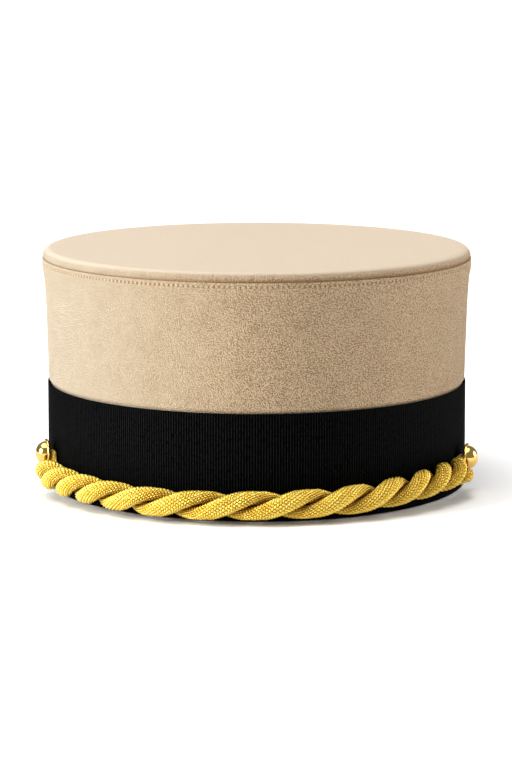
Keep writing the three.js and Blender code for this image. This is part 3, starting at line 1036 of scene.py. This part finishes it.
def save_depths(strand, points, length):
    """For painted shade: raised is 0 deep between the stitches, and the other is 1 where the strands touch.
    """
    raised = np.clip((np.hypot(points[:, 1], points[:, 2]) - CORE_RADIUS + 0.1) / 0.5, 0, 1)
    right = np.clip(2 * points[:, 0] / length - 1, 0, 1)
    # Painted shade on the side where the strands touch, with more of it towards the right end.
    strand_shade = np.clip(-points[:, 1] / STRAND * 3.5 - 0.35 + 0.6 * right ** 2, 0, 1)
    for name, values in (("raised", raised), ("strand_shade", strand_shade)):
        strand.data.attributes.new(name, "FLOAT", "POINT").data.foreach_set("value", values)


# %% Both strands on their routes
LEFT_NARROWING = 0.2
RIGHT_NARROWING = 0.45


def braided_strand(name, starts_upper):
    route = strand_route(starts_upper)
    length = route["length"][-1]
    steps = round(length / BRAID_STEP)
    strand = straight_braid(name, steps)
    points = read_points(strand)
    points[:, 0] = (points[:, 0] + BRAID_STEP / 2) * length / (steps * BRAID_STEP)
    square_section(points)
    save_depths(strand, points, length)
    write_points(strand, points)
    full = fullness(route)
    side = 2 * route["length"] / length - 1
    narrowing = np.where(side < 0, LEFT_NARROWING, RIGHT_NARROWING) * side ** 2
    thick = (TIP_THICKNESS + (STRAND - TIP_THICKNESS) * full) / STRAND
    wide = (TIP_WIDTH + (STRAND * (STRAND_WIDENING - narrowing) - TIP_WIDTH) * full) / STRAND
    lay_along(strand, route, thick, wide)
    bpy.ops.object.shade_smooth()
    return strand


strand_a = braided_strand("braided_strand_a", starts_upper=False)
strand_b = braided_strand("braided_strand_b", starts_upper=True)
print(f"strands: {strand_a.dimensions.x / MM:.1f} and {strand_b.dimensions.x / MM:.1f} mm across the front")

# %% [markdown]
# ## The cord's finish
#
# The yarn is bright rayon: it shines like metal along its threads, yet stays soft. Deep between the
# stitches the gold is painted brown, as painted shade, and the attribute `raised`, saved before the strand
# was laid, says how deep a point is. A second saved attribute does the same for the side of a strand that
# lies on the other one, which is in shade, and it grows towards the right end: painted shade too. Towards
# the right end the whole cord is also painted darker, because it turns away from the light. The fine
# threads of each stitch are a bump that runs along it, from the sphere's own UV map.

# %% Gold yarn
YELLOW_GOLD = (0.88, 0.60, 0.07, 1)
LIGHT_GOLD = (0.98, 0.75, 0.15, 1)
SHADED_RIGHT_GOLD = (0.58, 0.36, 0.035, 1)
STRAND_SHADE_BROWN = (0.40, 0.18, 0.008, 1)
CREVICE_SHADE_BROWN = (0.36, 0.18, 0.015, 1)
THREADS_PER_STITCH = 14

yarn = Finish("gold_yarn", {"Roughness": 0.28, "Metallic": 0.7})
gold = yarn.mix(yarn.noise(2.5).between(0.3, 0.7), YELLOW_GOLD, LIGHT_GOLD)
# Painted shade: the right end of the cord is darker, as it turns away from the light.
right_end_shade = yarn.axis(yarn.place(), "X").between(0.03, 0.09)
gold = yarn.mix(right_end_shade * 0.6, gold, SHADED_RIGHT_GOLD)
# Painted shade on the side where the strands touch.
gold = yarn.mix(yarn.saved("strand_shade"), gold, STRAND_SHADE_BROWN)
# Painted shade: brown deep between the stitches.
yarn.colour(yarn.mix(yarn.saved("raised"), CREVICE_SHADE_BROWN, gold))
around = yarn.axis(yarn.flat_map("UVMap"), "X")
threads = (around * 2 * math.pi * THREADS_PER_STITCH).math("SINE") * 0.5 + 0.5
yarn.bump(threads * 0.5 + yarn.noise(0.3) * 0.5, 0.05)
for strand in (strand_a, strand_b):
    strand.data.materials.append(yarn.material)
print(yarn.material.name, "has", len(yarn.tree.nodes), "nodes")

# %% [markdown]
# ## The buttons
#
# Each button is a polished dome with a narrow rolled rim, on a thin shank that stands on the ribbon. It is
# turned from one profile, like the wall, and then tipped over so that the dome looks straight out of the
# ribbon.

# %% Turn a button
RIM_FOOT = GAP + TIP_THICKNESS + GAP
RIM_ROLL = 0.6
DOME = 5.2
DOME_SINK = 0.95
DOME_INSET = 1.05


def button_profile():
    roll_middle = BUTTON_DIAMETER / 2 - RIM_ROLL
    profile = [(SHANK / 2, GAP), (SHANK / 2, RIM_FOOT - 0.1), (SHANK / 2 + 0.15, RIM_FOOT)]
    profile.append((roll_middle, RIM_FOOT))
    for angle in np.radians(np.linspace(-80, 140, 12)):
        up = RIM_FOOT + RIM_ROLL + RIM_ROLL * math.sin(angle)
        profile.append((roll_middle + RIM_ROLL * math.cos(angle), up))
    dome_half = BUTTON_DIAMETER / 2 - DOME_INSET
    for angle in np.radians(np.linspace(0, 88, 16)):
        up = RIM_FOOT + DOME_SINK + (DOME - DOME_SINK) * math.sin(angle)
        profile.append((dome_half * math.cos(angle), up))
    return profile


def domed_button(name, side):
    button = grow_rings(name, button_profile(), 64)
    close_rings(button, joined=False)
    turn = side * BUTTON_TURN
    button.location = Vector(oval_point(RIBBON_HALF, BUTTON_HEIGHTS[side], turn)) * MM
    button.rotation_euler = Vector(outward(turn)).to_track_quat("Z", "Y").to_euler()
    bpy.ops.object.transform_apply(location=True, rotation=True, scale=True)
    return button


button_left = domed_button("domed_button_left", -1)
button_right = domed_button("domed_button_right", 1)

# %% Polished gold
DARK_POLISH = (0.72, 0.45, 0.11, 1)
PALE_POLISH = (0.83, 0.57, 0.17, 1)

polish = Finish("polished_gold", {"Metallic": 1})
smears = polish.noise(3, detail=4)
polish.colour(polish.mix(smears.between(0.3, 0.7), DARK_POLISH, PALE_POLISH))
polish.feed(polish.shader.inputs["Roughness"], 0.07 + smears * 0.1)
polish.bump(polish.noise(0.6, detail=2), 0.008)
for button in (button_left, button_right):
    button.data.materials.append(polish.material)
print(polish.material.name, "has", len(polish.tree.nodes), "nodes")

# %% [markdown]
# ## Fitting the pieces to the hat
#
# Every new piece takes the place of a plain solid and moves with the hat's one body. The list beside it
# holds the name of the material that the parts list gives it. The ribbon is a sheet of cloth, stretched
# round the wall.

# %% Places and materials of the pieces
dressed = [
    (wall, "crown_wall", "wall_cloth"),
    (tip, "crown_tip", "tip_cloth"),
    (ribbon, "ribbon_band", "black_ribbon"),
    (strand_a, "cord_strand_a", "gold_cord"),
    (strand_b, "cord_strand_b", "gold_cord"),
    (button_left, "button_left", "gold_button"),
    (button_right, "button_right", "gold_button"),
]
for piece, node, slot in dressed:
    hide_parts(node)
    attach(piece, "root")
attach(stitches, "root")
print("pieces in place:", [piece.name for piece, node, slot in dressed] + [stitches.name])
